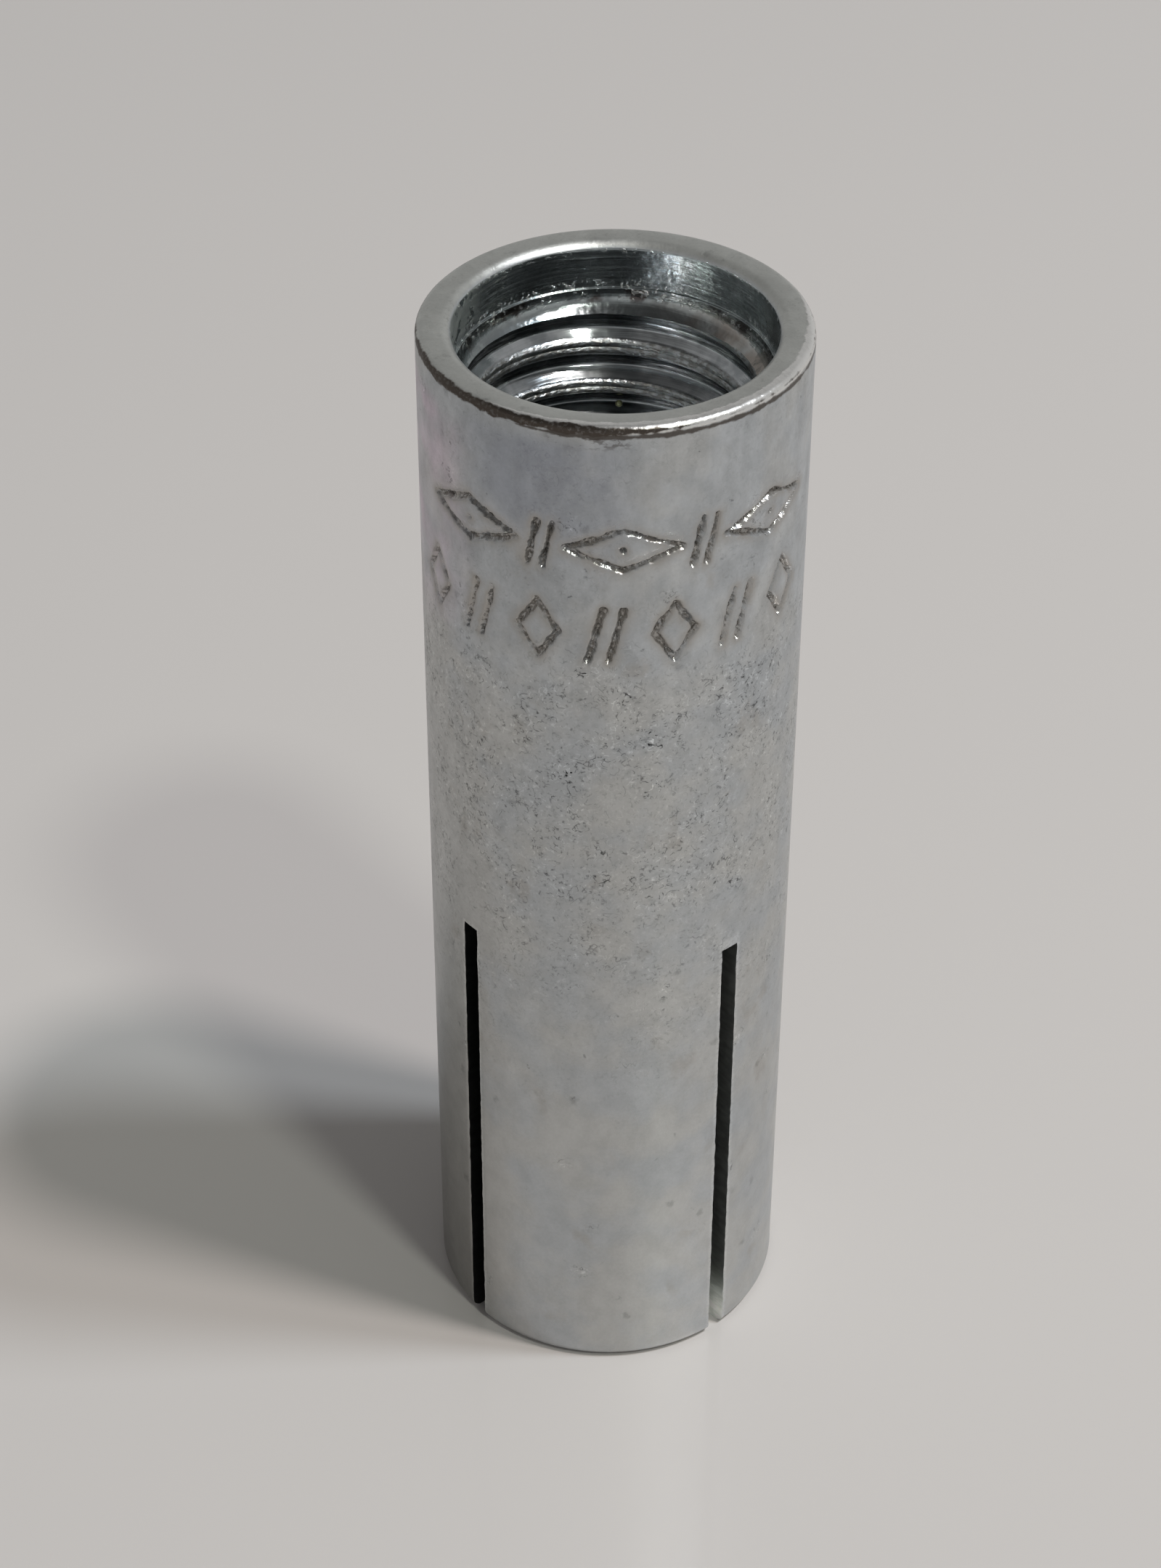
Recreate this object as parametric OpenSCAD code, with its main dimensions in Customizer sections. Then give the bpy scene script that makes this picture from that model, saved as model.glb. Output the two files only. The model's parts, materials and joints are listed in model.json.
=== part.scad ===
// Drop-in anchor: an internally threaded steel sleeve with an expansion plug inside it.
// The sleeve is pushed into a drilled hole, and the plug is driven down its bore.
// The plug's cone then spreads the four slotted segments at the base against the hole's wall.
// The frame: the axis is Z, the slotted base stands on Z = 0 and the mouth faces +Z.
// All radii follow the outer diameter, through the walls, steps and clearances named here.

/* [Sleeve] */
// Length of the sleeve, mouth to base
sleeve_len = 50; // [48:0.5:60]
// Outer diameter of the sleeve
sleeve_d = 15.6; // [13:0.1:18]
// Wall between the outside and the counterbore at the mouth
mouth_wall = 1.4; // [1.2:0.05:1.8]
// Radius of the rounded outer edge at the mouth
mouth_round = 0.3; // [0.1:0.05:0.4]
// Chamfer of the outer edge at the base, measured along the radius and along the axis
base_chamfer = 0.5; // [0.2:0.1:0.8]

/* [Mouth] */
// Depth of the counterbore at the mouth
entry_depth = 2; // [1:0.25:4]
// Chamfer on the lip of the counterbore
entry_chamfer = 0.35; // [0.1:0.05:0.5]
// Step on each side from the counterbore in to the band under it
entry_step = 0.1; // [0.05:0.05:0.3]
// Height of the straight band under the counterbore
band_len = 0.5; // [0.2:0.1:1.5]
// Half angle of the countersink under the band
countersink_angle = 55; // [40:5:65]
// Length of the slim cone under the countersink, on which the thread starts with low crests
lead_len = 5; // [3:0.5:7]
// Step on each side from the top of that cone in to the core bore
lead_step = 0.6; // [0.2:0.05:0.8]

/* [Thread] */
// Clearance on each side from the band in to the thread's major diameter
band_clearance = 0.3; // [0.1:0.05:0.4]
// Depth of the thread on each side, so that the core bore is the tapping size
thread_depth = 0.9; // [0.8:0.05:1.1]
// Depth from the mouth to the lower end of the threaded bore
thread_end_depth = 21.5; // [18:0.5:22]

/* [Expansion zone] */
// Step on each side from the core bore in to the plug's bore
plug_bore_step = 0.25; // [0.15:0.05:0.4]
// Half angle of the short cone at that step
step_angle = 60; // [30:5:75]
// Height of the inner taper above the base
taper_len = 16.5; // [14:0.5:19]
// Wall at the base, where the taper ends
base_wall = 4.4; // [3.8:0.1:4.8]
// Chamfer on the inner edge at the base
exit_chamfer = 0.3; // [0.1:0.05:0.6]

/* [Slots] */
// Length of the slots up from the base
slot_len = 23.5; // [20:0.5:26]
// Width of a slot
slot_w = 0.9; // [0.6:0.1:1.6]
// Saw cuts right across the sleeve, each of which opens two slots
slot_cuts = 2; // [1:1:3]
// Angle of the first cut from the X axis
slot_angle = 45; // [0:5:85]

/* [Plug] */
// Length of the expansion plug
plug_len = 15.5; // [12:0.5:16]
// Length of the plug's conical nose
plug_nose_len = 7.5; // [5:0.5:10]
// Running clearance on each side between the plug and its bore
plug_clearance = 0.05; // [0.02:0.01:0.1]
// Clearance along the axis that is left between the cones when the plug is down
seat_clearance = 0.6; // [0.3:0.1:1]
// Free travel of the plug from the place it is supplied in down to the taper
plug_travel = 3; // [1:0.5:3.5]
// Chamfer on the plug's two ends
plug_chamfer = 0.4; // [0.1:0.1:0.8]

/* [Hidden] */
$fn = 96;
// How far a cutting shape runs past the surface that it opens
past = 1;
// Short straight pieces that make the rounded edge
round_steps = 8;

// Radii, from the outside in; the thread's major radius of 6 makes it an M12
sleeve_r = sleeve_d / 2;
entry_r = sleeve_r - mouth_wall;
band_r = entry_r - entry_step;
thread_r = band_r - band_clearance;
core_r = thread_r - thread_depth;
lead_r = core_r + lead_step;
plug_bore_r = core_r - plug_bore_step;
taper_exit_r = sleeve_r - base_wall;

// Heights above the base
entry_z = sleeve_len - entry_depth;
band_z = entry_z - band_len;
lead_z = band_z - (band_r - lead_r) / tan(countersink_angle);
core_z = lead_z - lead_len;
thread_end_z = sleeve_len - thread_end_depth;
plug_bore_z = thread_end_z - plug_bore_step / tan(step_angle);

// Radius that the taper gains for each unit of height
taper_slope = (plug_bore_r - taper_exit_r) / taper_len;

plug_r = plug_bore_r - plug_clearance;
plug_tip_r = plug_r - plug_nose_len * taper_slope;
// The shoulder between the plug's cylinder and its nose, when the plug is down and as supplied
shoulder_seat_z = taper_len - plug_clearance / taper_slope + seat_clearance;
shoulder_z = shoulder_seat_z + plug_travel;
plug_tip_z = shoulder_z - plug_nose_len;

// Outline of the solid blank: radius, height
blank_profile = concat(
    [[0, 0], [sleeve_r - base_chamfer, 0], [sleeve_r, base_chamfer]],
    [for (i = [0:round_steps])
        let (a = 90 * i / round_steps)
        [sleeve_r - mouth_round + mouth_round * cos(a), sleeve_len - mouth_round + mouth_round * sin(a)]],
    [[0, sleeve_len]]
);

// Outline of everything that is bored out of the blank, from below the base to above the mouth
bore_profile = [
    [0, -past],
    [taper_exit_r + exit_chamfer * (1 + taper_slope) + past, -past],
    [taper_exit_r + exit_chamfer * taper_slope, exit_chamfer],
    [plug_bore_r, taper_len],
    [plug_bore_r, plug_bore_z],
    [core_r, thread_end_z],
    [core_r, core_z],
    [lead_r, lead_z],
    [band_r, band_z],
    [band_r, entry_z],
    [entry_r, entry_z],
    [entry_r, sleeve_len - entry_chamfer],
    [entry_r + entry_chamfer + past, sleeve_len + past],
    [0, sleeve_len + past]
];

// One saw cut across the whole diameter
module saw_cut(angle) {
    rotate([0, 0, angle])
        translate([-sleeve_r - past, -slot_w / 2, -past])
            cube([2 * (sleeve_r + past), slot_w, slot_len + past]);
}

// The zinc plated sleeve, turned and bored in one piece
module sleeve() {
    color([0.64, 0.67, 0.69])
        difference() {
            rotate_extrude() polygon(blank_profile);
            rotate_extrude() polygon(bore_profile);
            for (i = [0:slot_cuts - 1])
                saw_cut(slot_angle + i * 180 / slot_cuts);
        }
}

// The hardened plug: a cylinder that guides it, and a nose with the slope of the sleeve's taper
module expansion_plug() {
    color([0.52, 0.51, 0.48])
        translate([0, 0, plug_tip_z])
            rotate_extrude()
                polygon([
                    [0, 0],
                    [plug_tip_r - plug_chamfer, 0],
                    [plug_tip_r + plug_chamfer * taper_slope, plug_chamfer],
                    [plug_r, plug_nose_len],
                    [plug_r, plug_len - plug_chamfer],
                    [plug_r - plug_chamfer, plug_len],
                    [0, plug_len]
                ]);
}

sleeve();
expansion_plug();
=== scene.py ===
# A drop-in anchor: a zinc plated steel sleeve with an inside thread at the mouth and four sawn
# segments at the base, and a hard steel plug in its bore that spreads the segments when it is driven.
import math

import bpy
from mathutils import Matrix, Vector, noise
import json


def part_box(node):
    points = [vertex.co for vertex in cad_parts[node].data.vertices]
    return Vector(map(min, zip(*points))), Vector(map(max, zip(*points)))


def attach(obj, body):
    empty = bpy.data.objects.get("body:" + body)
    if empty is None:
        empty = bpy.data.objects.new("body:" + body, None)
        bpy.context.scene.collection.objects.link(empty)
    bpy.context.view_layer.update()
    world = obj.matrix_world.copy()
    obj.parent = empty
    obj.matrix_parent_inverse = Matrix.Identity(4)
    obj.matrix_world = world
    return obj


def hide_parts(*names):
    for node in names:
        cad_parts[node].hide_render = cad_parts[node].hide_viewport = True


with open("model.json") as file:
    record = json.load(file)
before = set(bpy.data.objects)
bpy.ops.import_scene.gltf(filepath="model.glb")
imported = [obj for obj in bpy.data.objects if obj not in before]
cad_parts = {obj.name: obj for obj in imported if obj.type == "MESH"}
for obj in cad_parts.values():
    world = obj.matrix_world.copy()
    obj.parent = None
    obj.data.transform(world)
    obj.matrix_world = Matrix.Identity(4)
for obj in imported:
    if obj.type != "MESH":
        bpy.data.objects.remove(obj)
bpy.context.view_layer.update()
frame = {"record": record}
mm = 0.001

# The camera looks down on the mouth at 38 degrees, from a little to the right of the anchor.
# It stands close, so that the sleeve narrows toward the base.
camera_lens = 76.35
camera_distance = 142.8 * mm
camera_tilt = math.radians(37.75)
camera_turn = math.radians(4.8)
camera_roll = math.radians(0.16)
camera_aim = Vector((-1.304, 0, 27.374)) * mm

bpy.ops.object.select_all(action="DESELECT")
bpy.ops.object.camera_add()
camera = bpy.context.object
camera.name = "camera"
camera.data.lens = camera_lens
camera.data.clip_start = 10 * mm
camera.data.clip_end = 10
turn_round = Matrix.Rotation(camera_turn, 4, "Z")
back = Vector((0, -math.cos(camera_tilt), math.sin(camera_tilt)))
camera.matrix_world = (
    Matrix.Translation(turn_round @ (camera_aim + back * camera_distance))
    @ turn_round
    @ Matrix.Rotation(math.pi / 2 - camera_tilt, 4, "X")
    @ Matrix.Rotation(camera_roll, 4, "Z")
)
bpy.context.scene.camera = camera
bpy.context.scene.view_settings.view_transform = "Standard"


# The floor is a pale, warm grey table top with a satin lacquer on it.
# It is one flat sheet, wide enough to fill every view.
floor_size = 6.0
floor_colour = (0.548, 0.522, 0.500, 1)


def put(tree, kind, values, **settings):
    """Adds a node and gives each of its inputs, by name or number, a value or a link."""
    made = tree.nodes.new("ShaderNode" + kind)
    for name, value in settings.items():
        setattr(made, name, value)
    for name, value in values.items():
        if isinstance(value, bpy.types.NodeSocket):
            tree.links.new(value, made.inputs[name])
        else:
            made.inputs[name].default_value = value
    return made


def new_finish(name, **constants):
    """A material whose own shader has these constants. Returns it, its node tree and its shader."""
    finish = bpy.data.materials.new(name)
    finish.use_nodes = True
    tree = finish.node_tree
    shader = tree.nodes["Principled BSDF"]
    for socket, value in constants.items():
        shader.inputs[socket.replace("_", " ")].default_value = value
    return finish, tree, shader


bpy.ops.object.select_all(action="DESELECT")
bpy.ops.mesh.primitive_plane_add(size=floor_size)
floor = bpy.context.object
floor.name = "table_top"
lacquer, tree, shader = new_finish(
    "table_lacquer", Base_Color=floor_colour, Roughness=0.32, IOR=1.45, Coat_Weight=0.5, Coat_Roughness=0.08
)
floor.data.materials.append(lacquer)


# Three ceiling lamps stand high on the right, and throw the anchor's shadows to the left.
# The room's walls give a weak light that grows toward the horizon.
lamps = {
    # name: (turn from the camera's side, height above the horizon, share of the light, disc, colour)
    "lamp_front_right": (70, 65.0, 0.362, 0.080, (1.06, 0.985, 0.955)),
    "lamp_right": (86.3, 63.6, 0.288, 0.091, (0.90, 1.0, 1.10)),
    "lamp_front": (37, 55.8, 0.168, 0.091, (0.985, 1.03, 0.955)),
}
lamp_distance = 0.85


def hang_lamp(name, turn, height, share, disc, colour):
    """A round lamp that gives the floor its share of a full, plain light."""
    turn, height = math.radians(turn) + camera_turn, math.radians(height)
    toward = Vector((math.sin(turn) * math.cos(height), -math.cos(turn) * math.cos(height), math.sin(height)))
    bpy.ops.object.light_add(type="AREA", location=toward * lamp_distance)
    lamp = bpy.context.object
    lamp.name = name
    lamp.data.shape = "DISK"
    lamp.data.size = disc
    lamp.data.color = colour
    lamp.data.energy = share * (math.pi * lamp_distance) ** 2 / math.sin(height)
    lamp.rotation_mode = "QUATERNION"
    lamp.rotation_quaternion = toward.to_track_quat("Z", "Y")


for name, facts in lamps.items():
    hang_lamp(name, *facts)

room = bpy.data.worlds.new("room")
room.use_nodes = True
tree = room.node_tree
direction = put(tree, "TexCoord", {}).outputs["Generated"]
upward = put(tree, "SeparateXYZ", {0: direction}).outputs["Z"]
# The walls are light, and the ceiling between the lamps is dark
room_light = {0.0: 0.56, 0.6: 0.30, 0.85: 0.09, 1.0: 0.035}
ramp = put(tree, "ValToRGB", {0: upward})
stops = ramp.color_ramp.elements
for place, light in room_light.items():
    stop = stops[0] if place == 0 else stops[-1] if place == 1 else stops.new(place)
    stop.color = (light, light, light, 1)
tree.links.new(ramp.outputs[0], tree.nodes["Background"].inputs["Color"])
bpy.context.scene.world = room


# The sleeve is turned from free-cutting steel bar, bored from both ends, and zinc plated.
# Its outline is spun once round the axis, and the thread and the slots are then cut from it.
sleeve_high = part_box("sleeve")[1]
mounts = {mount["name"]: mount for mount in frame["record"]["mounts"]}
sleeve_r = sleeve_high[0] / mm
sleeve_len = sleeve_high[2] / mm
core_r = mounts["thread"]["dims"]["r_mm"]
turn_steps = 256

# Mouth, from the outside in
mouth_round = 0.3
counterbore_r = 6.4
counterbore_depth = 2.0
lip = 0.26
band_r = 6.3
countersink_top = 47.5
countersink_slope = math.tan(math.radians(35))
# Heights of the wall's upper end and of the step under the counterbore
wall_top = sleeve_len - mouth_round
step_z = sleeve_len - counterbore_depth
# The bore is left this much under the thread's core for the tap to clear
tapping_allowance = 0.15
thread_low = 28.5
# Expansion zone
plug_bore_r = 4.85
plug_bore_top = 28.356
taper_top = 16.5
taper_exit_r = 3.4
exit_chamfer = 0.3
base_round = 0.5
# Slots: two saw cuts right across the base, one a little longer than the other
slot_lengths = (23.65, 23.3)
slot_turns = (45, 135)
slot_width = 0.9


def to_millimetres(tree):
    """The place on the piece, in millimetres."""
    place = put(tree, "TexCoord", {}).outputs["Object"]
    return put(tree, "Mapping", {"Vector": place, "Scale": (1 / mm, 1 / mm, 1 / mm)}).outputs[0]


def reckon(tree, operation, *values, clamp=False):
    """The result of a Math node."""
    return put(tree, "Math", dict(enumerate(values)), operation=operation, use_clamp=clamp).outputs[0]


def fade(tree, value, start, stop, low=0.0, high=1.0):
    """A smooth change from low to high, as the value goes from start to stop."""
    return put(
        tree, "MapRange", {0: value, 1: start, 2: stop, 3: low, 4: high}, interpolation_type="SMOOTHSTEP"
    ).outputs[0]


def blotches(tree, place, per_mm, detail=2.0, shift=0.0):
    """Plain noise with so many blotches to a millimetre, as its value and its colour."""
    moved = put(tree, "VectorMath", {0: place, 1: (shift, shift, shift)}).outputs[0]
    made = put(tree, "TexNoise", {"Vector": moved, "Scale": per_mm, "Detail": detail, "Roughness": 0.55})
    return made.outputs["Fac"], made.outputs["Color"]


def stretched(tree, place, stretch):
    """The place with its axes stretched, so that a pattern on it lies along one of them."""
    return put(tree, "VectorMath", {0: place, 1: stretch}, operation="MULTIPLY").outputs[0]


def blend_colour(tree, factor, first, second):
    """A mix of two colours."""
    return put(tree, "Mix", {0: factor, 6: first, 7: second}, data_type="RGBA").outputs[2]


def new_effect(name, inputs, outputs):
    """An empty shader node group. Returns it with its input and output nodes."""
    effect = bpy.data.node_groups.new(name, "ShaderNodeTree")
    for socket, kind in inputs.items():
        effect.interface.new_socket(socket, in_out="INPUT", socket_type="NodeSocket" + kind)
    for socket, kind in outputs.items():
        effect.interface.new_socket(socket, in_out="OUTPUT", socket_type="NodeSocket" + kind)
    return effect, effect.nodes.new("NodeGroupInput").outputs, effect.nodes.new("NodeGroupOutput").inputs


def use_effect(tree, effect, values):
    """Places a node group in a material, with its values, and gives its outputs."""
    return put(tree, "Group", values, node_tree=effect).outputs


def scaled(tree, vector, factor):
    """A vector or a colour, times a factor."""
    return put(tree, "VectorMath", {0: vector, "Scale": factor}, operation="SCALE").outputs[0]


def add_up(tree, *values):
    """The sum of several values."""
    total = values[0]
    for value in values[1:]:
        total = reckon(tree, "ADD", total, value)
    return total


def times(tree, *values):
    """The product of several values."""
    product = values[0]
    for value in values[1:]:
        product = reckon(tree, "MULTIPLY", product, value)
    return product


def root_of_squares(tree, first, second):
    """The distance that lies first one way and second at right angles to it."""
    return reckon(tree, "SQRT", add_up(tree, times(tree, first, first), times(tree, second, second)))


def how_far(tree, place, direction):
    """How far a place lies along a direction, in millimetres."""
    return put(tree, "VectorMath", {0: place, 1: direction}, operation="DOT_PRODUCT").outputs["Value"]


def raise_bumps(tree, shader, relief, depth):
    """Gives a finish its fine relief, with the depth of a relief of 1 in millimetres."""
    bump = put(tree, "Bump", {"Strength": 1.0, "Distance": depth * mm, "Height": relief})
    tree.links.new(bump.outputs[0], shader.inputs["Normal"])


# Fine crooked scuffs, dark ones and bright ones, from rubbing on other anchors in the box
scuffs, given, wanted = new_effect(
    "scuffs", {"Place": "Vector", "Per mm": "Float", "Width": "Float"}, {"Light": "Float"}
)
lie = put(scuffs, "TexNoise", {
    "Vector": given["Place"], "Scale": given["Per mm"], "Detail": 2.5, "Roughness": 0.62, "Distortion": 0.2
}).outputs["Fac"]
crooked = fade(scuffs, reckon(scuffs, "PINGPONG", lie, 0.07), given["Width"], 0.0)
patch = put(scuffs, "TexNoise", {
    "Vector": put(scuffs, "VectorMath", {0: given["Place"], 1: (40, 40, 40)}).outputs[0],
    "Scale": times(scuffs, given["Per mm"], 2.2), "Detail": 1.0,
}).outputs["Fac"]
bright_or_dark = reckon(
    scuffs, "SUBTRACT", fade(scuffs, patch, 0.56, 0.66, 0.0, 0.6), fade(scuffs, patch, 0.48, 0.36)
)
scuffs.links.new(times(scuffs, crooked, bright_or_dark), wanted["Light"])

# Short straight scratches, each with its own lean and bow
scratches, given, wanted = new_effect(
    "scratches",
    {"Place": "Vector", "Per mm": "Float", "Reach": "Float", "Width": "Float", "Lean": "Float"},
    {"Mask": "Float", "Chance": "Float"},
)
wobble = scaled(scratches, blotches(scratches, given["Place"], 2.5, 2)[1], 0.16)
wobbly = put(scratches, "VectorMath", {0: given["Place"], 1: wobble}).outputs[0]
cell = put(scratches, "TexVoronoi", {"Vector": wobbly, "Scale": given["Per mm"]}).outputs
chances = put(scratches, "SeparateColor", {0: cell["Color"]}).outputs
offset = put(scratches, "VectorMath", {0: wobbly, 1: cell["Position"]}, operation="SUBTRACT").outputs[0]
sideways = put(
    scratches, "VectorMath", {0: (0, 0, 1), 1: given["Place"]}, operation="CROSS_PRODUCT"
).outputs[0]
sideways = put(scratches, "VectorMath", {0: sideways}, operation="NORMALIZE").outputs[0]
side = how_far(scratches, offset, sideways)
rise = put(scratches, "SeparateXYZ", {0: offset}).outputs[2]
lean = times(scratches, reckon(scratches, "SUBTRACT", chances[0], 0.5), given["Lean"])
cosine, sine = reckon(scratches, "COSINE", lean), reckon(scratches, "SINE", lean)
across = add_up(scratches, times(scratches, side, cosine), times(scratches, rise, sine))
along = reckon(scratches, "SUBTRACT", times(scratches, rise, cosine), times(scratches, side, sine))
bow = times(scratches, along, along, reckon(scratches, "SUBTRACT", chances[1], 0.5), 2.0)
off_line = reckon(scratches, "ABSOLUTE", add_up(scratches, across, bow))
line = reckon(scratches, "SUBTRACT", 1.0, reckon(scratches, "DIVIDE", off_line, given["Width"]), clamp=True)
from_middle = reckon(scratches, "ABSOLUTE", along)
ends = fade(scratches, from_middle, given["Reach"], times(scratches, given["Reach"], 0.5))
scratches.links.new(times(scratches, line, ends), wanted["Mask"])
scratches.links.new(chances[2], wanted["Chance"])

# Fine rings, left by the tool as the piece turned
tool_rings, given, wanted = new_effect(
    "tool_rings", {"Place": "Vector", "Per mm": "Float"}, {"Height": "Float"}
)
parts = put(tool_rings, "SeparateXYZ", {0: given["Place"]}).outputs
radius = root_of_squares(tool_rings, parts[0], parts[1])
drift = reckon(tool_rings, "MULTIPLY", blotches(tool_rings, given["Place"], 0.25, 1)[0], 0.25)
unrolled = put(tool_rings, "CombineXYZ", {
    0: reckon(tool_rings, "ADD", radius, drift), 1: reckon(tool_rings, "ADD", parts[2], drift), 2: 0.0
}).outputs[0]
tool_rings.links.new(blotches(tool_rings, unrolled, given["Per mm"], 3)[0], wanted["Height"])

# A ragged band round an edge, where the plating is rubbed through.
# Its border is sharp: the band fades out within a fourteenth of a millimetre.
worn_ring, given, wanted = new_effect(
    "worn_ring",
    {
        "Place": "Vector", "Ring Radius": "Float", "Ring Height": "Float",
        "Width": "Float", "Raggedness": "Float",
    },
    {"Mask": "Float"},
)
parts = put(worn_ring, "SeparateXYZ", {0: given["Place"]}).outputs
radius = root_of_squares(worn_ring, parts[0], parts[1])
out = reckon(worn_ring, "SUBTRACT", radius, given["Ring Radius"])
over = reckon(worn_ring, "SUBTRACT", parts[2], given["Ring Height"])
away = root_of_squares(worn_ring, out, over)
coarse = reckon(worn_ring, "SUBTRACT", blotches(worn_ring, given["Place"], 0.7, 2)[0], 0.5)
fine = reckon(worn_ring, "SUBTRACT", blotches(worn_ring, given["Place"], 2.4, 3, 3.0)[0], 0.5)
ragged = times(worn_ring, add_up(worn_ring, coarse, times(worn_ring, fine, 1.2)), given["Raggedness"])
inside = reckon(worn_ring, "SUBTRACT", reckon(worn_ring, "ADD", given["Width"], ragged), away)
worn_ring.links.new(reckon(worn_ring, "MULTIPLY", inside, 14.0, clamp=True), wanted["Mask"])


# Zinc plate on the outside: satin grey, faintly clouded with blue and brown, and finely scratched
plate_blue = (0.465, 0.485, 0.502, 1)
plate_warm = (0.481, 0.484, 0.475, 1)
plate_violet = (0.62, 0.52, 0.60, 1)
plate_neutral = (0.450, 0.453, 0.428, 1)
# Painted shade: the darker, bluer front of the wall
plate_reflected_shade = (0.365, 0.385, 0.425, 1)
stain_brown = (0.38, 0.36, 0.335, 1)
# Painted shade: one segment darker toward the base
segment_shade_brown = (0.27, 0.262, 0.25, 1)
bare_brown = (0.075, 0.062, 0.052, 1)
# Pale steel, partly a painted highlight of the lamps' glint on the mouth's edge
burnished_glint_steel = (0.80, 0.785, 0.76, 1)
# Painted shade for the bottoms of the stamped grooves
groove_shade_dark = (0.13, 0.12, 0.108, 1)

zinc, tree, shader = new_finish("zinc_plate", Metallic=0.84)
place = to_millimetres(tree)
where = put(tree, "SeparateXYZ", {0: place}).outputs
height = where[2]
clouds = blotches(tree, place, 0.30, 3)[0]
mottle = blotches(tree, stretched(tree, place, (1, 1, 0.8)), 1.1, 3, 7.0)[0]
grain = blotches(tree, place, 7.0, 3, 4.0)[0]
warmth = add_up(
    tree, fade(tree, clouds, 0.35, 0.65), fade(tree, height, 30.0, 44.0, 0.15, -0.35),
    times(tree, fade(tree, where[0], -4.5, -7.2), fade(tree, height, 42.0, 30.0), 1.6),
)
colour = blend_colour(tree, warmth, plate_blue, plate_warm)
# Toward the mouth it is tinted violet on one side
violet = times(
    tree, fade(tree, height, 36.0, 44.0), fade(tree, height, wall_top - 0.5, wall_top - 1.7),
    fade(tree, where[0], -4.5, -7.6),
    fade(tree, blotches(tree, place, 0.35, 2, 3.0)[0], 0.40, 0.62, 0.2, 0.9),
)
colour = blend_colour(tree, violet, colour, plate_violet)
# The wall is painted darker and bluer in front, from the marks up to the mouth: painted shade, for the shaded
# floor in front that it reflects
reflected_shade_side = how_far(tree, place, (-0.29, -0.957, 0))
reflected_shade = times(
    tree, fade(tree, reflected_shade_side, 6.6, 7.8), fade(tree, height, 42.5, 47.0),
    fade(tree, height, wall_top, wall_top - 0.9),
    fade(tree, blotches(tree, place, 0.5, 3, 27.0)[0], 0.30, 0.60, 0.55, 1.0),
)
colour = blend_colour(tree, reflected_shade, colour, plate_reflected_shade)
# One segment is painted darker and browner toward the base: painted shade, for the shadowed floor beside it
# that it reflects
segment_shade = times(tree, fade(tree, where[0], -5.4, -6.0), fade(tree, height, 22.0, 1.0))
colour = blend_colour(tree, segment_shade, colour, segment_shade_brown)
stains = fade(tree, blotches(tree, place, 0.42, 4, 21.0)[0], 0.60, 0.72)
colour = blend_colour(tree, times(tree, stains, 0.5), colour, stain_brown)
# The turned face at the mouth has no tint
colour = blend_colour(tree, fade(tree, height, wall_top + 0.02, wall_top + 0.2), colour, plate_neutral)
on_wall = fade(tree, height, wall_top + 0.05, wall_top - 0.2)
near_mouth = times(tree, fade(tree, height, 33.0, 41.0), on_wall)
streaks = blotches(tree, stretched(tree, place, (1, 1, 0.5)), 1.0, 4, 11.0)[0]
tone = add_up(
    tree, fade(tree, clouds, 0.3, 0.7, 0.96, 1.03), fade(tree, mottle, 0.3, 0.7, -0.05, 0.05),
    fade(tree, grain, 0.3, 0.7, -0.025, 0.025),
    times(tree, near_mouth, fade(tree, streaks, 0.3, 0.7, -0.10, 0.10)),
)

# The scuffs lie close over the middle of the sleeve, and few are near its mouth and base
handled = times(
    tree, fade(tree, height, 41.0, 37.0, 0.22, 1.0), fade(tree, height, 12.0, 33.0, 0.06, 1.0),
    fade(tree, blotches(tree, place, 0.45, 3, 13.0)[0], 0.38, 0.60, 0.35, 1.0),
)
long_rubs = use_effect(tree, scuffs, {"Place": place, "Per mm": 1.05, "Width": 0.021})["Light"]
fine_rubs = use_effect(tree, scuffs, {"Place": place, "Per mm": 1.9, "Width": 0.034})["Light"]
# Between them are soft smudges, dark ones and pale ones
smudges = reckon(
    tree, "SUBTRACT", fade(tree, blotches(tree, place, 3.4, 3, 31.0)[0], 0.56, 0.74, 0.0, 0.8),
    fade(tree, blotches(tree, place, 2.3, 4, 43.0)[0], 0.54, 0.72),
)
# Here and there they crowd together
knot = put(tree, "TexVoronoi", {"Vector": place, "Scale": 0.42}).outputs
crowded = times(
    tree, fade(tree, knot["Distance"], 0.28, 0.06), on_wall,
    fade(tree, put(tree, "SeparateColor", {0: knot["Color"]}).outputs[1], 0.40, 0.60),
)
rubs = times(
    tree, add_up(tree, handled, times(tree, crowded, 0.9)),
    add_up(tree, times(tree, long_rubs, 0.62), times(tree, fine_rubs, 0.54), times(tree, smudges, 0.24)),
)
# A few short nicks go deeper, anywhere on the wall
nick = use_effect(tree, scratches, {
    "Place": place, "Per mm": 0.8, "Reach": 0.16, "Width": 0.08, "Lean": 2.4
})
nicks = times(
    tree, nick["Mask"], fade(tree, nick["Chance"], 0.86, 0.90), fade(tree, grain, 0.42, 0.56),
    fade(tree, height, 8.0, 22.0, 0.3, 1.0), on_wall,
)
# Small dull pits with uneven rims
shifted = scaled(tree, blotches(tree, place, 3.0, 2)[1], 0.5)
shifted = put(tree, "VectorMath", {0: place, 1: shifted}).outputs[0]
pit = put(tree, "TexVoronoi", {"Vector": shifted, "Scale": 0.55}).outputs
pits = times(
    tree, fade(tree, pit["Distance"], 0.16, 0.03),
    fade(tree, put(tree, "SeparateColor", {0: pit["Color"]}).outputs[0], 0.35, 0.60),
    fade(tree, grain, 0.30, 0.50, 0.4, 1.0),
)
tone = add_up(tree, tone, rubs, times(tree, nicks, -0.5), times(tree, pits, -0.26))
colour = scaled(tree, colour, tone)
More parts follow.
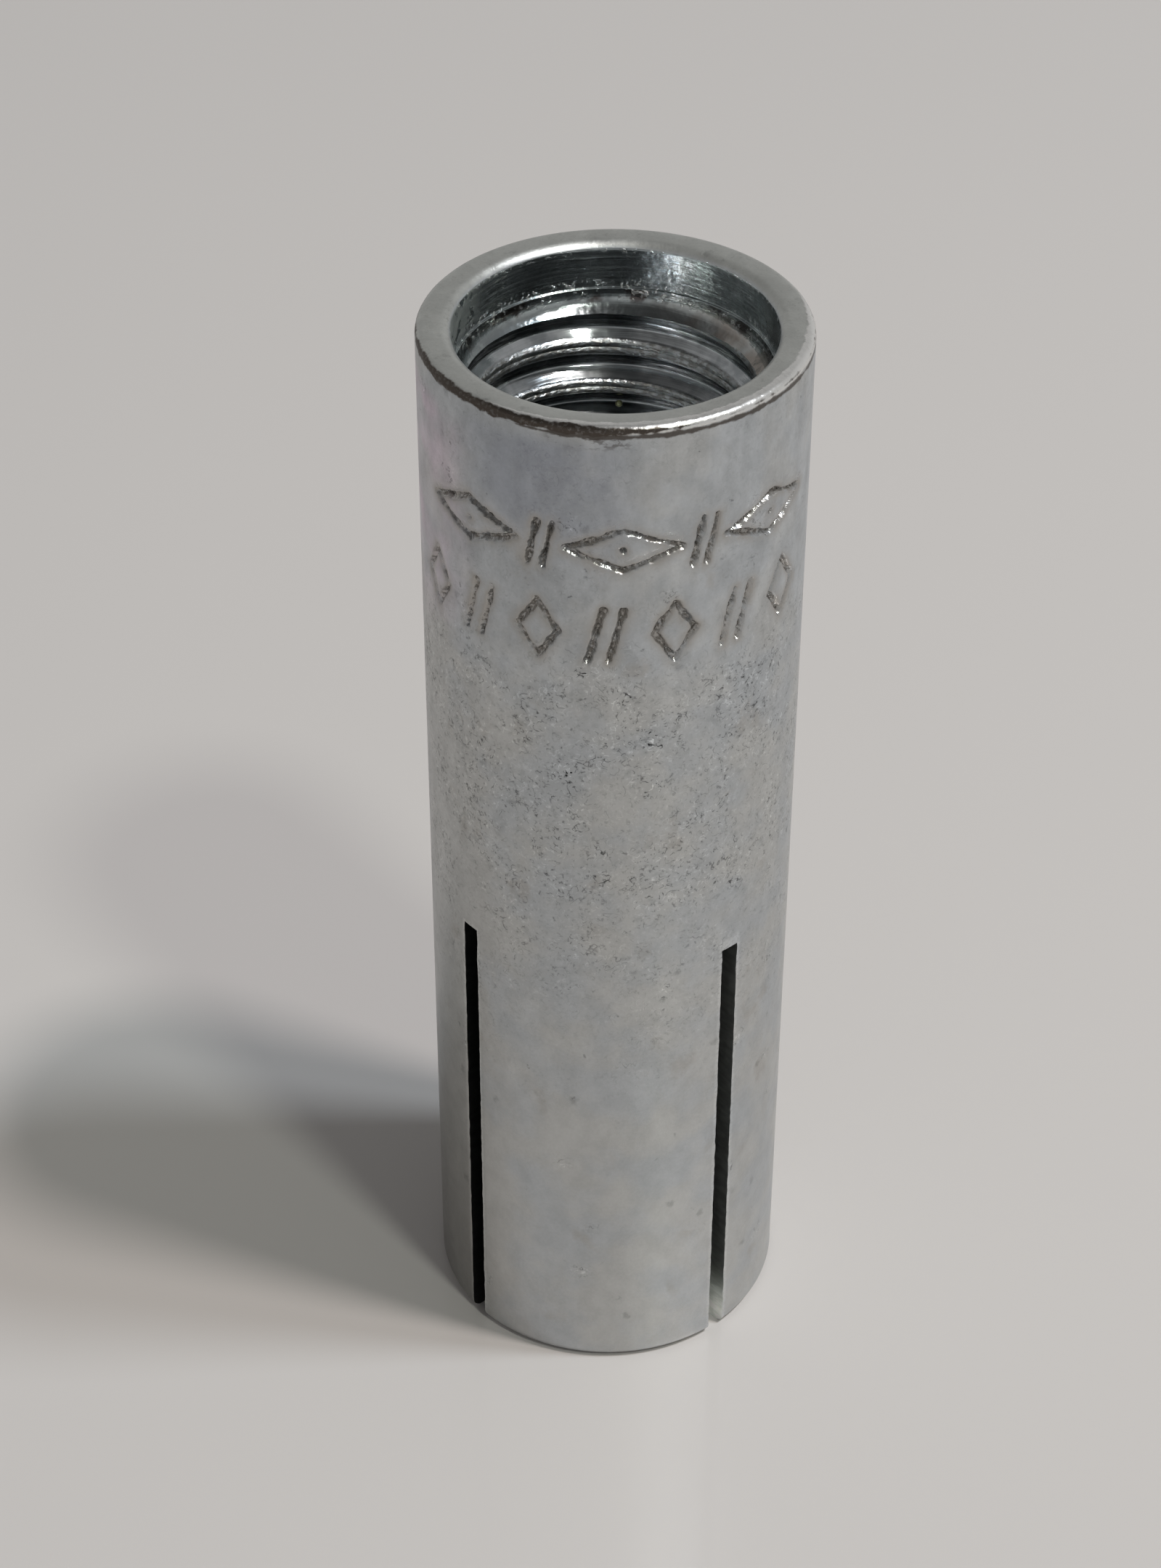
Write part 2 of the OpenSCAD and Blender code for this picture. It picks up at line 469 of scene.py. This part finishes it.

# The saw leaves a fine burr along the slots, given as relief. The colour is lightened along their edges too:
# a painted highlight of the light the edges catch
slot_top = max(slot_lengths)
burr_and_edge_highlight = 0.0
for turn in slot_turns:
    across_slot = (-math.sin(math.radians(turn)), math.cos(math.radians(turn)), 0)
    aside = reckon(tree, "ABSOLUTE", how_far(tree, place, across_slot))
    past_edge = reckon(tree, "SUBTRACT", aside, slot_width / 2)
    burr_and_edge_highlight = reckon(tree, "MAXIMUM", burr_and_edge_highlight, fade(tree, past_edge, 0.20, 0.02))
burr_and_edge_highlight = times(
    tree, burr_and_edge_highlight, fade(tree, height, slot_top + 0.3, slot_top + 0.05), fade(tree, grain, 0.3, 0.55, 0.3, 1.0)
)
# Painted highlight along the slots' edges
colour = scaled(tree, colour, add_up(tree, 1.0, times(tree, burr_and_edge_highlight, 0.2)))

# The mouth's outer edge is rubbed. On one side it is worn through to brown steel.
# On the other it is burnished, over a thin brown line, and painted pale there: a painted highlight where the
# lamps glint on the rounded edge.
rubbed_side = how_far(tree, place, (-0.52, -0.85, 0))
glint_side = how_far(tree, place, (0.62, -0.78, 0))
edge = use_effect(tree, worn_ring, {
    "Place": place, "Ring Radius": sleeve_r - 0.05, "Ring Height": sleeve_len - 0.16,
    "Width": fade(tree, rubbed_side, 3.6, 7.2, 0.03, 0.23), "Raggedness": 0.24,
})["Mask"]
thin_line = use_effect(tree, worn_ring, {
    "Place": place, "Ring Radius": sleeve_r, "Ring Height": sleeve_len - 0.38,
    "Width": fade(tree, glint_side, 2.0, 5.0, 0.0, 0.14), "Raggedness": 0.18,
})["Mask"]
burnished_and_glint = use_effect(tree, worn_ring, {
    "Place": place, "Ring Radius": sleeve_r - 0.16, "Ring Height": sleeve_len - 0.07,
    "Width": fade(tree, glint_side, 0.5, 6.5, 0.05, 0.34), "Raggedness": 0.22,
})["Mask"]
burnished_and_glint = times(
    tree, burnished_and_glint, fade(tree, glint_side, 0.0, 4.0),
    fade(tree, height, sleeve_len - 0.34, sleeve_len - 0.22),
)
# Under its front lies a small smear
front = how_far(tree, place, (-0.05, -1.0, 0))
smear = times(
    tree, fade(tree, front, 7.55, 7.75), fade(tree, height, wall_top - 0.8, wall_top - 0.4),
    fade(tree, height, wall_top, wall_top - 0.2),
    fade(tree, blotches(tree, stretched(tree, place, (1, 1, 2)), 2.6, 4, 9.0)[0], 0.50, 0.60),
)
# Painted highlight: the burnished edge is made pale where the lamps glint on it
colour = blend_colour(tree, times(tree, burnished_and_glint, 0.8), colour, burnished_glint_steel)
colour = blend_colour(tree, times(tree, edge, fade(tree, grain, 0.34, 0.50, 0.88, 1.0)), colour, bare_brown)
colour = blend_colour(tree, times(tree, thin_line, 0.9), colour, bare_brown)
colour = blend_colour(tree, times(tree, smear, 0.6), colour, bare_brown)

# The stamped grooves are painted dark at their bottoms, painted shade in the recesses, and the bruised metal
# round them is stained
stamped = put(tree, "Attribute", {}, attribute_name="stamped").outputs["Fac"]
bruised = put(tree, "Attribute", {}, attribute_name="bruised").outputs["Fac"]
bruise_stain = times(tree, bruised, fade(tree, mottle, 0.35, 0.6, 0.35, 0.9))
colour = blend_colour(tree, bruise_stain, colour, stain_brown)
grit = blotches(tree, place, 5.5, 3, 5.0)[0]
groove_shade = times(tree, fade(tree, stamped, 0.40, 0.95), fade(tree, grit, 0.38, 0.56, 0.10, 0.95))
colour = blend_colour(tree, groove_shade, colour, groove_shade_dark)
tree.links.new(colour, shader.inputs["Base Color"])

roughness = fade(tree, blotches(tree, place, 0.8, 3, 17.0)[0], 0.3, 0.7, 0.37, 0.45)
shiny = reckon(tree, "MAXIMUM", fade(tree, stamped, 0.0, 0.3), times(tree, burnished_and_glint, 0.6))
roughness = reckon(tree, "SUBTRACT", roughness, times(tree, shiny, 0.2))
tree.links.new(roughness, shader.inputs["Roughness"])
relief = add_up(
    tree, times(tree, rubs, 2.0), times(tree, nicks, -2.0), times(tree, pits, -2.0), times(tree, burr_and_edge_highlight, -2.0),
    times(tree, grain, 0.9), times(tree, blotches(tree, place, 1.4, 2, 3.0)[0], 1.2),
    times(tree, stamped, grit, 4.0), times(tree, edge, grit, 0.8),
    times(tree, burnished_and_glint, blotches(tree, place, 1.5, 2, 8.0)[0], 6.0),
)
raise_bumps(tree, shader, relief, 0.007)

# The bore is smoother than the outside, with the rings of the boring tool under the plate
bore_bright = (0.50, 0.54, 0.54, 1)
bore_dim = (0.30, 0.325, 0.33, 1)
# Painted reflection on one side of the band and the cone
bore_reflected_brown = (0.33, 0.30, 0.27, 1)
# Pale, partly a painted reflection on the counterbore's crust
crust_reflection_pale = (0.47, 0.50, 0.47, 1)
torn_dark = (0.12, 0.105, 0.10, 1)
crumb_bright = (0.85, 0.87, 0.85, 1)

bore_finish, tree, shader = new_finish("plated_bore", Metallic=1.0)
place = to_millimetres(tree)
across_bore, _, height = put(tree, "SeparateXYZ", {0: place}).outputs
tarnish = blotches(tree, place, 0.9, 4, 2.0)[0]
colour = blend_colour(tree, fade(tree, tarnish, 0.38, 0.64), bore_bright, bore_dim)
# The band and the cone under the counterbore are painted brown on one side: a painted reflection of something
# brown in the room
reflected_brown = times(
    tree, fade(tree, height, step_z, step_z - 0.4), fade(tree, across_bore, 0.0, 4.0),
    fade(tree, blotches(tree, place, 0.5, 3, 4.0)[0], 0.34, 0.56, 0.3, 1.0),
)
colour = blend_colour(tree, reflected_brown, colour, bore_reflected_brown)
# On the other side the counterbore has a cracked crust, painted pale: partly a painted reflection
crust_and_reflection = times(
    tree, fade(tree, across_bore, -5.3, -6.1), fade(tree, height, step_z, step_z + 0.3),
    fade(tree, blotches(tree, place, 1.8, 4, 19.0)[0], 0.36, 0.48),
)
colour = blend_colour(tree, times(tree, crust_and_reflection, 0.8), colour, crust_reflection_pale)
# Torn dark patches lie under the step
torn_step = times(
    tree, fade(tree, height, step_z - 0.02, step_z - 0.1), fade(tree, height, step_z - 0.7, step_z - 0.4),
    fade(tree, blotches(tree, place, 0.8, 4, 15.0)[0], 0.50, 0.60),
)
colour = blend_colour(tree, torn_step, colour, torn_dark)
# Small bright crumbs of plating sit along the lip and the counterbore's step
from_step = reckon(tree, "ABSOLUTE", reckon(tree, "SUBTRACT", height, step_z - 0.05))
from_lip = reckon(tree, "ABSOLUTE", reckon(tree, "SUBTRACT", height, wall_top + 0.02))
crumbs = times(
    tree, reckon(tree, "MAXIMUM", fade(tree, from_step, 0.55, 0.05), fade(tree, from_lip, 0.22, 0.05)),
    fade(tree, blotches(tree, place, 4.2, 4, 6.0)[0], 0.55, 0.62),
    fade(tree, blotches(tree, place, 0.6, 2, 8.0)[0], 0.36, 0.48),
)
colour = blend_colour(tree, crumbs, colour, crumb_bright)
tree.links.new(colour, shader.inputs["Base Color"])
roughness = add_up(tree, fade(tree, tarnish, 0.35, 0.65, 0.11, 0.21), times(tree, crust_and_reflection, 0.3))
tree.links.new(roughness, shader.inputs["Roughness"])
rings = use_effect(tree, tool_rings, {"Place": place, "Per mm": 5.0})["Height"]
relief = add_up(
    tree, times(tree, rings, fade(tree, height, step_z - 0.6, step_z, 0.8, 2.4)), times(tree, crumbs, 3.0),
    times(tree, blotches(tree, place, 0.9, 3)[0], 4.0), times(tree, crust_and_reflection, 2.0),
)
raise_bumps(tree, shader, relief, 0.012)

# The thread is formed, not cut: its flanks are burnished, and its crests are torn and dull
flank_bright = (0.58, 0.60, 0.61, 1)
flank_dim = (0.34, 0.36, 0.37, 1)
crest_grey = (0.30, 0.295, 0.28, 1)
drop_olive = (0.30, 0.30, 0.14, 1)
# Painted glint in the drop's core
drop_glint_yellow = (0.95, 0.95, 0.55, 1)
pitch = 1.75
thread_r = 6.05
# The crests are low at the mouth, where the tap starts, and full from here down
crest_full, crest_gain, crest_least = 42.1, 0.12, 0.2
# A tiny olive drop clings to one flank. Its pale yellow core is a painted glint
drop_place, drop_r = (-0.25, 5.93, 42.77), 0.17

thread_finish, tree, shader = new_finish("formed_thread")
place = to_millimetres(tree)
where = put(tree, "SeparateXYZ", {0: place}).outputs
radius = root_of_squares(tree, where[0], where[1])
grown = reckon(tree, "MULTIPLY_ADD", where[2], -crest_gain, 1 + crest_gain * crest_full)
grown = reckon(tree, "MINIMUM", reckon(tree, "MAXIMUM", grown, crest_least), 1.0)
crest_r = reckon(tree, "MULTIPLY_ADD", grown, core_r - thread_r, thread_r)
torn = fade(tree, reckon(tree, "SUBTRACT", radius, crest_r), 0.20, 0.08)
shreds = blotches(tree, stretched(tree, place, (1, 1, 1.8)), 4.0, 4, 9.0)[0]
tarnish = fade(tree, blotches(tree, place, 0.7, 3, 2.0)[0], 0.40, 0.62)
colour = blend_colour(tree, tarnish, flank_bright, flank_dim)
colour = blend_colour(tree, times(tree, torn, fade(tree, shreds, 0.40, 0.60)), colour, crest_grey)
from_drop = put(tree, "VectorMath", {0: place, 1: drop_place}, operation="DISTANCE").outputs["Value"]
colour = blend_colour(tree, fade(tree, from_drop, drop_r, 0.13), colour, drop_olive)
# The drop's pale yellow core is a painted glint
colour = blend_colour(tree, fade(tree, from_drop, 0.11, 0.07), colour, drop_glint_yellow)
tree.links.new(fade(tree, from_drop, 0.13, drop_r), shader.inputs["Metallic"])
tree.links.new(colour, shader.inputs["Base Color"])
tree.links.new(fade(tree, torn, 0.0, 1.0, 0.14, 0.32), shader.inputs["Roughness"])
rings = use_effect(tree, tool_rings, {"Place": place, "Per mm": 3.0})["Height"]
relief = add_up(
    tree, times(tree, rings, 1.6), times(tree, shreds, torn, 4.5),
    times(tree, blotches(tree, place, 0.8, 2)[0], 1.5), fade(tree, from_drop, drop_r, 0.0, 0.0, 8.0),
)
raise_bumps(tree, shader, relief, 0.012)

# The slots are sawn before plating, and their faces keep the saw's marks.
# They are painted dark on one side, painted shade where the lamps don't reach, and painted lighter near the
# base on the other, where light comes in.
sawn_dark = (0.24, 0.25, 0.24, 1)
sawn_pale = (0.31, 0.32, 0.31, 1)

sawn_finish, tree, shader = new_finish("sawn_face", Metallic=0.8)
place = to_millimetres(tree)
across_base, _, height = put(tree, "SeparateXYZ", {0: place}).outputs
saw_marks = blotches(tree, stretched(tree, place, (1, 1, 3)), 1.3, 3)[0]
colour = blend_colour(tree, fade(tree, saw_marks, 0.35, 0.65), sawn_dark, sawn_pale)
# Painted shade on the dark side, and painted light near the base on the other
lit_near_base = times(tree, fade(tree, across_base, 2.0, 5.0), fade(tree, height, 3.6, 0.8))
painted_light_and_shade = add_up(tree, fade(tree, across_base, -5.0, -2.0, 0.12, 1.0), times(tree, lit_near_base, 2.6))
tree.links.new(scaled(tree, colour, painted_light_and_shade), shader.inputs["Base Color"])
tree.links.new(fade(tree, saw_marks, 0.3, 0.7, 0.34, 0.42), shader.inputs["Roughness"])
raise_bumps(tree, shader, saw_marks, 0.008)

# An arc in an outline has a point for each turn of this angle
arc_step = math.radians(18)


def rounded(outline):
    """Points of a closed outline whose corners, given as (radius, height, rounding), become arcs."""
    points = []
    corners_before, corners_after = outline[-1:] + outline[:-1], outline[1:] + outline[:1]
    for before, (r, z, rounding), after in zip(corners_before, outline, corners_after):
        corner = Vector((r, z))
        if not rounding:
            points.append(corner)
            continue
        to_before = (Vector(before[:2]) - corner).normalized()
        to_after = (Vector(after[:2]) - corner).normalized()
        half = to_before.angle(to_after) / 2
        reach = rounding / math.tan(half)
        centre = corner + (to_before + to_after).normalized() * rounding / math.sin(half)
        start, stop = corner + to_before * reach - centre, corner + to_after * reach - centre
        sweep = math.pi - 2 * half
        side = 1 if start.x * stop.y - start.y * stop.x > 0 else -1
        steps = max(2, round(sweep / arc_step))
        for step in range(steps + 1):
            angle = side * sweep * step / steps
            points.append(centre + Vector((
                start.x * math.cos(angle) - start.y * math.sin(angle),
                start.x * math.sin(angle) + start.y * math.cos(angle),
            )))
    return points


def draw_outline(name, outline):
    """An outline of (radius, height) points, in millimetres, drawn from one corner of a small plane."""
    bpy.ops.object.select_all(action="DESELECT")
    r, z = outline[0]
    bpy.ops.mesh.primitive_plane_add(size=mm, location=(r * mm, 0, z * mm))
    piece = bpy.context.object
    piece.name = piece.data.name = name
    bpy.ops.object.mode_set(mode="EDIT")
    bpy.ops.mesh.select_mode(type="VERT")
    bpy.ops.mesh.select_all(action="SELECT")
    bpy.ops.mesh.merge(type="CENTER")
    for (r, z), (next_r, next_z) in zip(outline, outline[1:]):
        bpy.ops.mesh.extrude_vertices_move(
            TRANSFORM_OT_translate={"value": ((next_r - r) * mm, 0, (next_z - z) * mm)}
        )
    return piece


def spin_outline(name, outline, steps):
    """Turns an outline into a round solid, as on a lathe. It closes on the axis or on itself."""
    closed = outline[0][0] > 0
    piece = draw_outline(name, outline + outline[:1] if closed else outline)
    bpy.ops.mesh.select_all(action="SELECT")
    bpy.ops.mesh.remove_doubles(threshold=1e-7)
    bpy.ops.mesh.spin(steps=steps, angle=2 * math.pi, center=(0, 0, 0), axis=(0, 0, 1))
    bpy.ops.mesh.select_all(action="SELECT")
    bpy.ops.mesh.remove_doubles(threshold=1e-7)
    bpy.ops.mesh.normals_make_consistent(inside=False)
    bpy.ops.object.mode_set(mode="OBJECT")
    bpy.ops.object.transform_apply(location=True, rotation=True, scale=True)
    return piece


def cut_away(piece, tool):
    """Cuts the tool out of the piece, leaves the tool's finish on the cut, and throws the tool away."""
    cut = piece.modifiers.new("cut", "BOOLEAN")
    cut.operation = "DIFFERENCE"
    cut.object = tool
    cut.solver = "MANIFOLD"
    cut.material_mode = "TRANSFER"
    bpy.ops.object.select_all(action="DESELECT")
    piece.select_set(True)
    bpy.context.view_layer.objects.active = piece
    bpy.ops.object.modifier_apply(modifier=cut.name)
    bpy.data.objects.remove(tool)


bore_r = core_r - tapping_allowance
taper_slope = (plug_bore_r - taper_exit_r) / taper_top
# The wall has close rings where the marks are stamped
stamp_low, stamp_high, stamp_ring = 38.4, 46.4, 0.2
stamp_rings = round((stamp_high - stamp_low) / stamp_ring)
sleeve_outline = rounded(
    [(sleeve_r, 0, base_round)]
    + [(sleeve_r, stamp_low + i * stamp_ring, 0) for i in range(stamp_rings + 1)]
    + [
        (sleeve_r, sleeve_len, mouth_round),
        (counterbore_r + lip, sleeve_len, 0.45),
        (counterbore_r, sleeve_len - lip, 0.2),
        (counterbore_r, step_z, 0.03),
        (band_r, step_z, 0.03),
        (band_r, countersink_top, 0.7),
        (bore_r, countersink_top - (band_r - bore_r) * countersink_slope, 0),
        (bore_r, thread_low, 0),
        (plug_bore_r, plug_bore_top, 0.05),
        (plug_bore_r, taper_top, 0),
        (taper_exit_r + exit_chamfer * taper_slope, exit_chamfer, 0.04),
        (taper_exit_r + exit_chamfer * (1 + taper_slope), 0, 0.04),
    ]
)
sleeve = spin_outline("anchor_sleeve", sleeve_outline, turn_steps)
sleeve.data.materials.append(zinc)
sleeve.data.materials.append(bore_finish)
# All faces as far in as the counterbore's wall belong to the bore
bore_reach = counterbore_r + 0.02
for face in sleeve.data.polygons:
    if math.hypot(face.center.x, face.center.y) / mm < bore_reach:
        face.material_index = 1

# The thread is formed by a tap, which leaves a seam along the middle of each crest.
# The tap is one pitch of outline wound up the axis, and it is cut flat at both ends.
crest_width = 0.5
seam_width, seam_depth = 0.16, 0.1
tap_steps = 144
tap_turns = 14
tap_top = 48.4
# Height at which the lower edge of a crest crosses the wall that faces the camera
crest_height = 47.15
# The outline is wound from so many turns below it, which is under the threaded bore
turns_below = 12
tap_start = crest_height - pitch * (0.25 + camera_turn / (2 * math.pi)) - turns_below * pitch
# The tap's nose leaves the last turns shallow, but still cuts a little past the core
nose_length, skim = 2.7, 0.02
# The crests are torn out to this radius, which takes in the seam
tear, torn_r = 0.03, core_r + seam_depth + 0.02

crest_corner = 0.04
flank, root_round = 0.45, 0.22
tap_outline = rounded([
    (core_r + crest_corner, 0, 0),
    (core_r, crest_corner, 0),
    (core_r, (crest_width - seam_width) / 2, 0),
    (core_r + seam_depth, crest_width / 2, 0),
    (core_r, (crest_width + seam_width) / 2, 0),
    (core_r, crest_width - crest_corner, 0),
    (core_r + crest_corner, crest_width, 0),
    (thread_r, crest_width + flank, root_round),
    (thread_r, pitch - flank, root_round),
    (core_r + crest_corner, pitch, 0),
])
tap_outline = [(r, tap_start + z) for r, z in tap_outline]
tap = draw_outline("tap", tap_outline)
bpy.ops.object.mode_set(mode="OBJECT")
bpy.ops.object.transform_apply(location=True, rotation=True, scale=True)
wind = tap.modifiers.new("wind", "SCREW")
wind.axis = "Z"
wind.angle = 2 * math.pi
wind.screw_offset = pitch * mm
wind.iterations = tap_turns
wind.steps = wind.render_steps = tap_steps
bpy.ops.object.modifier_apply(modifier=wind.name)
bpy.ops.object.mode_set(mode="EDIT")
bpy.ops.mesh.select_all(action="SELECT")
bpy.ops.mesh.remove_doubles(threshold=1e-7)
for height, below in ((thread_low, True), (tap_top, False)):
    bpy.ops.mesh.select_all(action="SELECT")
    bpy.ops.mesh.bisect(
        plane_co=(0, 0, height * mm), plane_no=(0, 0, 1), use_fill=True,
        clear_inner=below, clear_outer=not below, threshold=1e-8,
    )
bpy.ops.mesh.select_all(action="SELECT")
bpy.ops.mesh.normals_make_consistent(inside=False)
bpy.ops.object.mode_set(mode="OBJECT")


def waver(co, wave):
    """Smooth noise at a place, below and above 0, in waves about this many millimetres long."""
    return noise.noise(co / (wave * mm))


for corner in tap.data.vertices:
    r, height = math.hypot(corner.co.x, corner.co.y) / mm, corner.co.z / mm
    crest = min(1, max(crest_least, 1 - crest_gain * (height - crest_full)))
    valley = min(1, (height - thread_low) / nose_length)
    shaped = thread_r - (thread_r - r) * crest
    shaped = core_r + skim + (shaped - core_r) * valley
    if r < torn_r:
        shaped += tear * (0.5 + waver(corner.co, 0.35))
    corner.co.x *= shaped / r
    corner.co.y *= shaped / r
tap.data.materials.append(thread_finish)
cut_away(sleeve, tap)

# Two saw cuts right across the base leave four segments.
# The blade wanders a little, so that the edges aren't quite straight.
saw_rings = 110
wander = 0.05
# The blade runs this far past the wall and the base
overrun = 1
for slot_len, slot_turn in zip(slot_lengths, slot_turns):
    bpy.ops.object.select_all(action="DESELECT")
    bpy.ops.mesh.primitive_cube_add(size=1)
    saw = bpy.context.object
    saw.name = "saw"
    saw.scale = (2 * (sleeve_r + overrun) * mm, slot_width * mm, (slot_len + overrun) * mm)
    saw.location = (0, 0, (slot_len - overrun) / 2 * mm)
    bpy.ops.object.transform_apply(location=True, rotation=True, scale=True)
    for edge in saw.data.edges:
        low_end, high_end = (saw.data.vertices[i].co for i in edge.vertices)
        edge.select = abs(high_end.z - low_end.z) > slot_len / 2 * mm
    bpy.ops.object.mode_set(mode="EDIT")
    bpy.ops.mesh.select_mode(type="EDGE")
    bpy.ops.mesh.subdivide(number_cuts=saw_rings)
    bpy.ops.object.mode_set(mode="OBJECT")
    for corner in saw.data.vertices:
        strayed = abs(waver(corner.co, 0.9)) + 1.1 * abs(waver(corner.co, 0.27))
        corner.co.y -= wander * mm * strayed * math.copysign(1, corner.co.y)
    saw.rotation_euler = (0, 0, math.radians(slot_turn))
    bpy.ops.object.transform_apply(location=True, rotation=True, scale=True)
    saw.data.materials.append(sawn_finish)
    cut_away(sleeve, saw)

# Two rows of plain marks are stamped in the wall under the mouth.
# Each stroke is a groove with rough sides, and the metal round it is pressed down a little.
groove_depth, groove_half = 0.19, 0.16
bruise_depth, bruise_reach = 0.03, 0.5
# The marks lie between these angles from the camera's side, in degrees
stamp_from, stamp_to = -84, 72
# The wall's mesh is cut finer this far from a stroke
close_mesh, close_cuts = 0.34, 3
# Whatever is within this of the sleeve's radius is its outer wall
wall_skin = 0.1
# A stroke runs between two points (u, z) of the unrolled wall, where u is 0 on the camera's side


def lozenge(u, z, half_width, half_height):
    """Four strokes round a lozenge."""
    corners = [(u - half_width, z), (u, z + half_height), (u + half_width, z), (u, z - half_height)]
    return list(zip(corners, corners[1:] + corners[:1]))


def slashes(u, z, count, gap, lean, half_height):
    """Short slanted strokes side by side."""
    first = u - gap * (count - 1) / 2
    return [
        ((first + i * gap - lean, z - half_height), (first + i * gap + lean, z + half_height))
        for i in range(count)
    ]


def punch_dot(u, z):
    """One touch of a round punch."""
    return [((u, z), (u + 0.01, z))]


# Each row has a height, a first place along the wall and a gap from mark to mark
upper_row, upper_first, upper_gap = 44.55, -6.3, 6.6
lower_row, lower_first, lower_gap = 40.6, -8.6, 2.75
upper_marks, lower_marks = [], []
for i in range(3):
    upper_marks += lozenge(upper_first + upper_gap * i, upper_row, 2.3, 0.9)
    upper_marks += punch_dot(upper_first + upper_gap * i, upper_row)
for i in range(2):
    upper_marks += slashes(upper_first + upper_gap * (i + 0.5), upper_row, 2, 0.62, 0.22, 1.0)
for i in range(7):
    u = lower_first + lower_gap * i
    if i % 2 == 0:
        lower_marks += lozenge(u, lower_row, 0.85, 1.3)
    else:
        lower_marks += slashes(u, lower_row, 2, 0.8, 0.3, 1.2)
strokes = upper_marks + lower_marks
# The punch of the upper row bounced, and left a faint second touch above each stroke
bounce_u, bounce_z = 0.05, 0.36
bounce_depth, bounce_half = 0.05, 0.1


def far_from(stroke, u, z):
    """Distance from a point of the unrolled wall to a stroke."""
    (u0, z0), (u1, z1) = stroke
    along_u, along_z = u1 - u0, z1 - z0
    share = ((u - u0) * along_u + (z - z0) * along_z) / (along_u ** 2 + along_z ** 2)
    share = min(1, max(0, share))
    return math.hypot(u - u0 - share * along_u, z - z0 - share * along_z)


def turned_from_camera(co):
    """Angle of a place round the axis, from the camera's side, in degrees."""
    return math.degrees(math.atan2(co.x, -co.y) - camera_turn)


bpy.ops.object.select_all(action="DESELECT")
sleeve.select_set(True)
bpy.context.view_layer.objects.active = sleeve
bpy.ops.object.mode_set(mode="EDIT")
bpy.ops.mesh.select_all(action="DESELECT")
bpy.ops.object.mode_set(mode="OBJECT")
for face in sleeve.data.polygons:
    r, height = math.hypot(face.center.x, face.center.y) / mm, face.center.z / mm
    turned = turned_from_camera(face.center)
    face.select = (
        r > sleeve_r - wall_skin
        and stamp_low < height < stamp_high
        and stamp_from < turned < stamp_to
        and min(far_from(stroke, math.radians(turned) * sleeve_r, height) for stroke in strokes) < close_mesh
    )
bpy.ops.object.mode_set(mode="EDIT")
bpy.ops.mesh.select_mode(type="FACE")
bpy.ops.mesh.subdivide(number_cuts=close_cuts)
bpy.ops.object.mode_set(mode="OBJECT")
stamped_marks = sleeve.data.attributes.new("stamped", "FLOAT", "POINT")
bruised_metal = sleeve.data.attributes.new("bruised", "FLOAT", "POINT")
for corner in sleeve.data.vertices:
    r, height = math.hypot(corner.co.x, corner.co.y) / mm, corner.co.z / mm
    turned = turned_from_camera(corner.co)
    in_rows = stamp_low < height < stamp_high and stamp_from < turned < stamp_to
    if r < sleeve_r - wall_skin or not in_rows:
        continue
    u = math.radians(turned) * sleeve_r
    near = min(far_from(stroke, u, height) for stroke in strokes)
    near += 0.10 * waver(corner.co, 0.6) + 0.04 * waver(corner.co, 0.18)
    groove = max(0, 1 - max(0, near) / groove_half)
    rough = 1 + 0.5 * waver(corner.co, 0.4) + 0.25 * waver(corner.co, 0.13)
    bruise = max(0, 1 - max(0, near - groove_half) / bruise_reach)
    bounce = min(far_from(stroke, u - bounce_u, height - bounce_z) for stroke in upper_marks)
    bounce = max(0, 1 - bounce / bounce_half) * (0.5 + waver(corner.co, 0.9))
    sunk = groove_depth * min(1, 1.5 * groove) * rough + bruise_depth * bruise ** 2
    sunk += bounce_depth * max(0, bounce)
    stamped_marks.data[corner.index].value = min(1, groove + 0.4 * max(0, bounce))
    bruised_metal.data[corner.index].value = bruise ** 2
    corner.co.x *= (sleeve_r - sunk) / r
    corner.co.y *= (sleeve_r - sunk) / r

# Edges that turn by more than this stay sharp
crease = math.radians(42)
bpy.ops.object.shade_smooth_by_angle(angle=crease)
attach(sleeve, "sleeve")
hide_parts("sleeve")


# The expansion plug is a hard steel slug with a conical nose, turned and parted off bar.
# It is not plated: it has a thin film of oil, and its rings show on the end that is struck.
plug_low, plug_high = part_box("expansion_plug")
plug_r = plug_high[0] / mm
plug_bottom, plug_top = plug_low[2] / mm, plug_high[2] / mm
nose_len = 7.5
plug_chamfer = 0.4
plug_tip_r = plug_r - nose_len * taper_slope
plug_steps = 128
# The struck end has a shallow dimple in its middle
dimple_r, dimple_depth = 0.55, 0.12
plug_outline = rounded([
    (0, plug_bottom, 0),
    (plug_tip_r - plug_chamfer, plug_bottom, 0.05),
    (plug_tip_r + plug_chamfer * taper_slope, plug_bottom + plug_chamfer, 0.08),
    (plug_r, plug_bottom + nose_len, 0),
    (plug_r, plug_top - plug_chamfer, 0.08),
    (plug_r - plug_chamfer, plug_top, 0.08),
    (dimple_r, plug_top, 0.1),
    (0, plug_top - dimple_depth, 0),
])
plug = spin_outline("anchor_plug", plug_outline, plug_steps)
film_pale = (0.46, 0.45, 0.43, 1)
film_brown = (0.30, 0.285, 0.26, 1)

plug_finish, tree, shader = new_finish("oiled_steel", Metallic=1.0, Coat_Weight=0.25, Coat_Roughness=0.2)
place = to_millimetres(tree)
film = blotches(tree, place, 0.5, 4, 4.0)[0]
colour = blend_colour(tree, fade(tree, film, 0.38, 0.62), film_pale, film_brown)
tree.links.new(colour, shader.inputs["Base Color"])
tree.links.new(fade(tree, film, 0.3, 0.7, 0.28, 0.42), shader.inputs["Roughness"])
rings = use_effect(tree, tool_rings, {"Place": place, "Per mm": 4.0})["Height"]
raise_bumps(tree, shader, rings, 0.03)
plug.data.materials.append(plug_finish)
bpy.ops.object.shade_smooth_by_angle(angle=crease)
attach(plug, "plug")
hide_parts("expansion_plug")
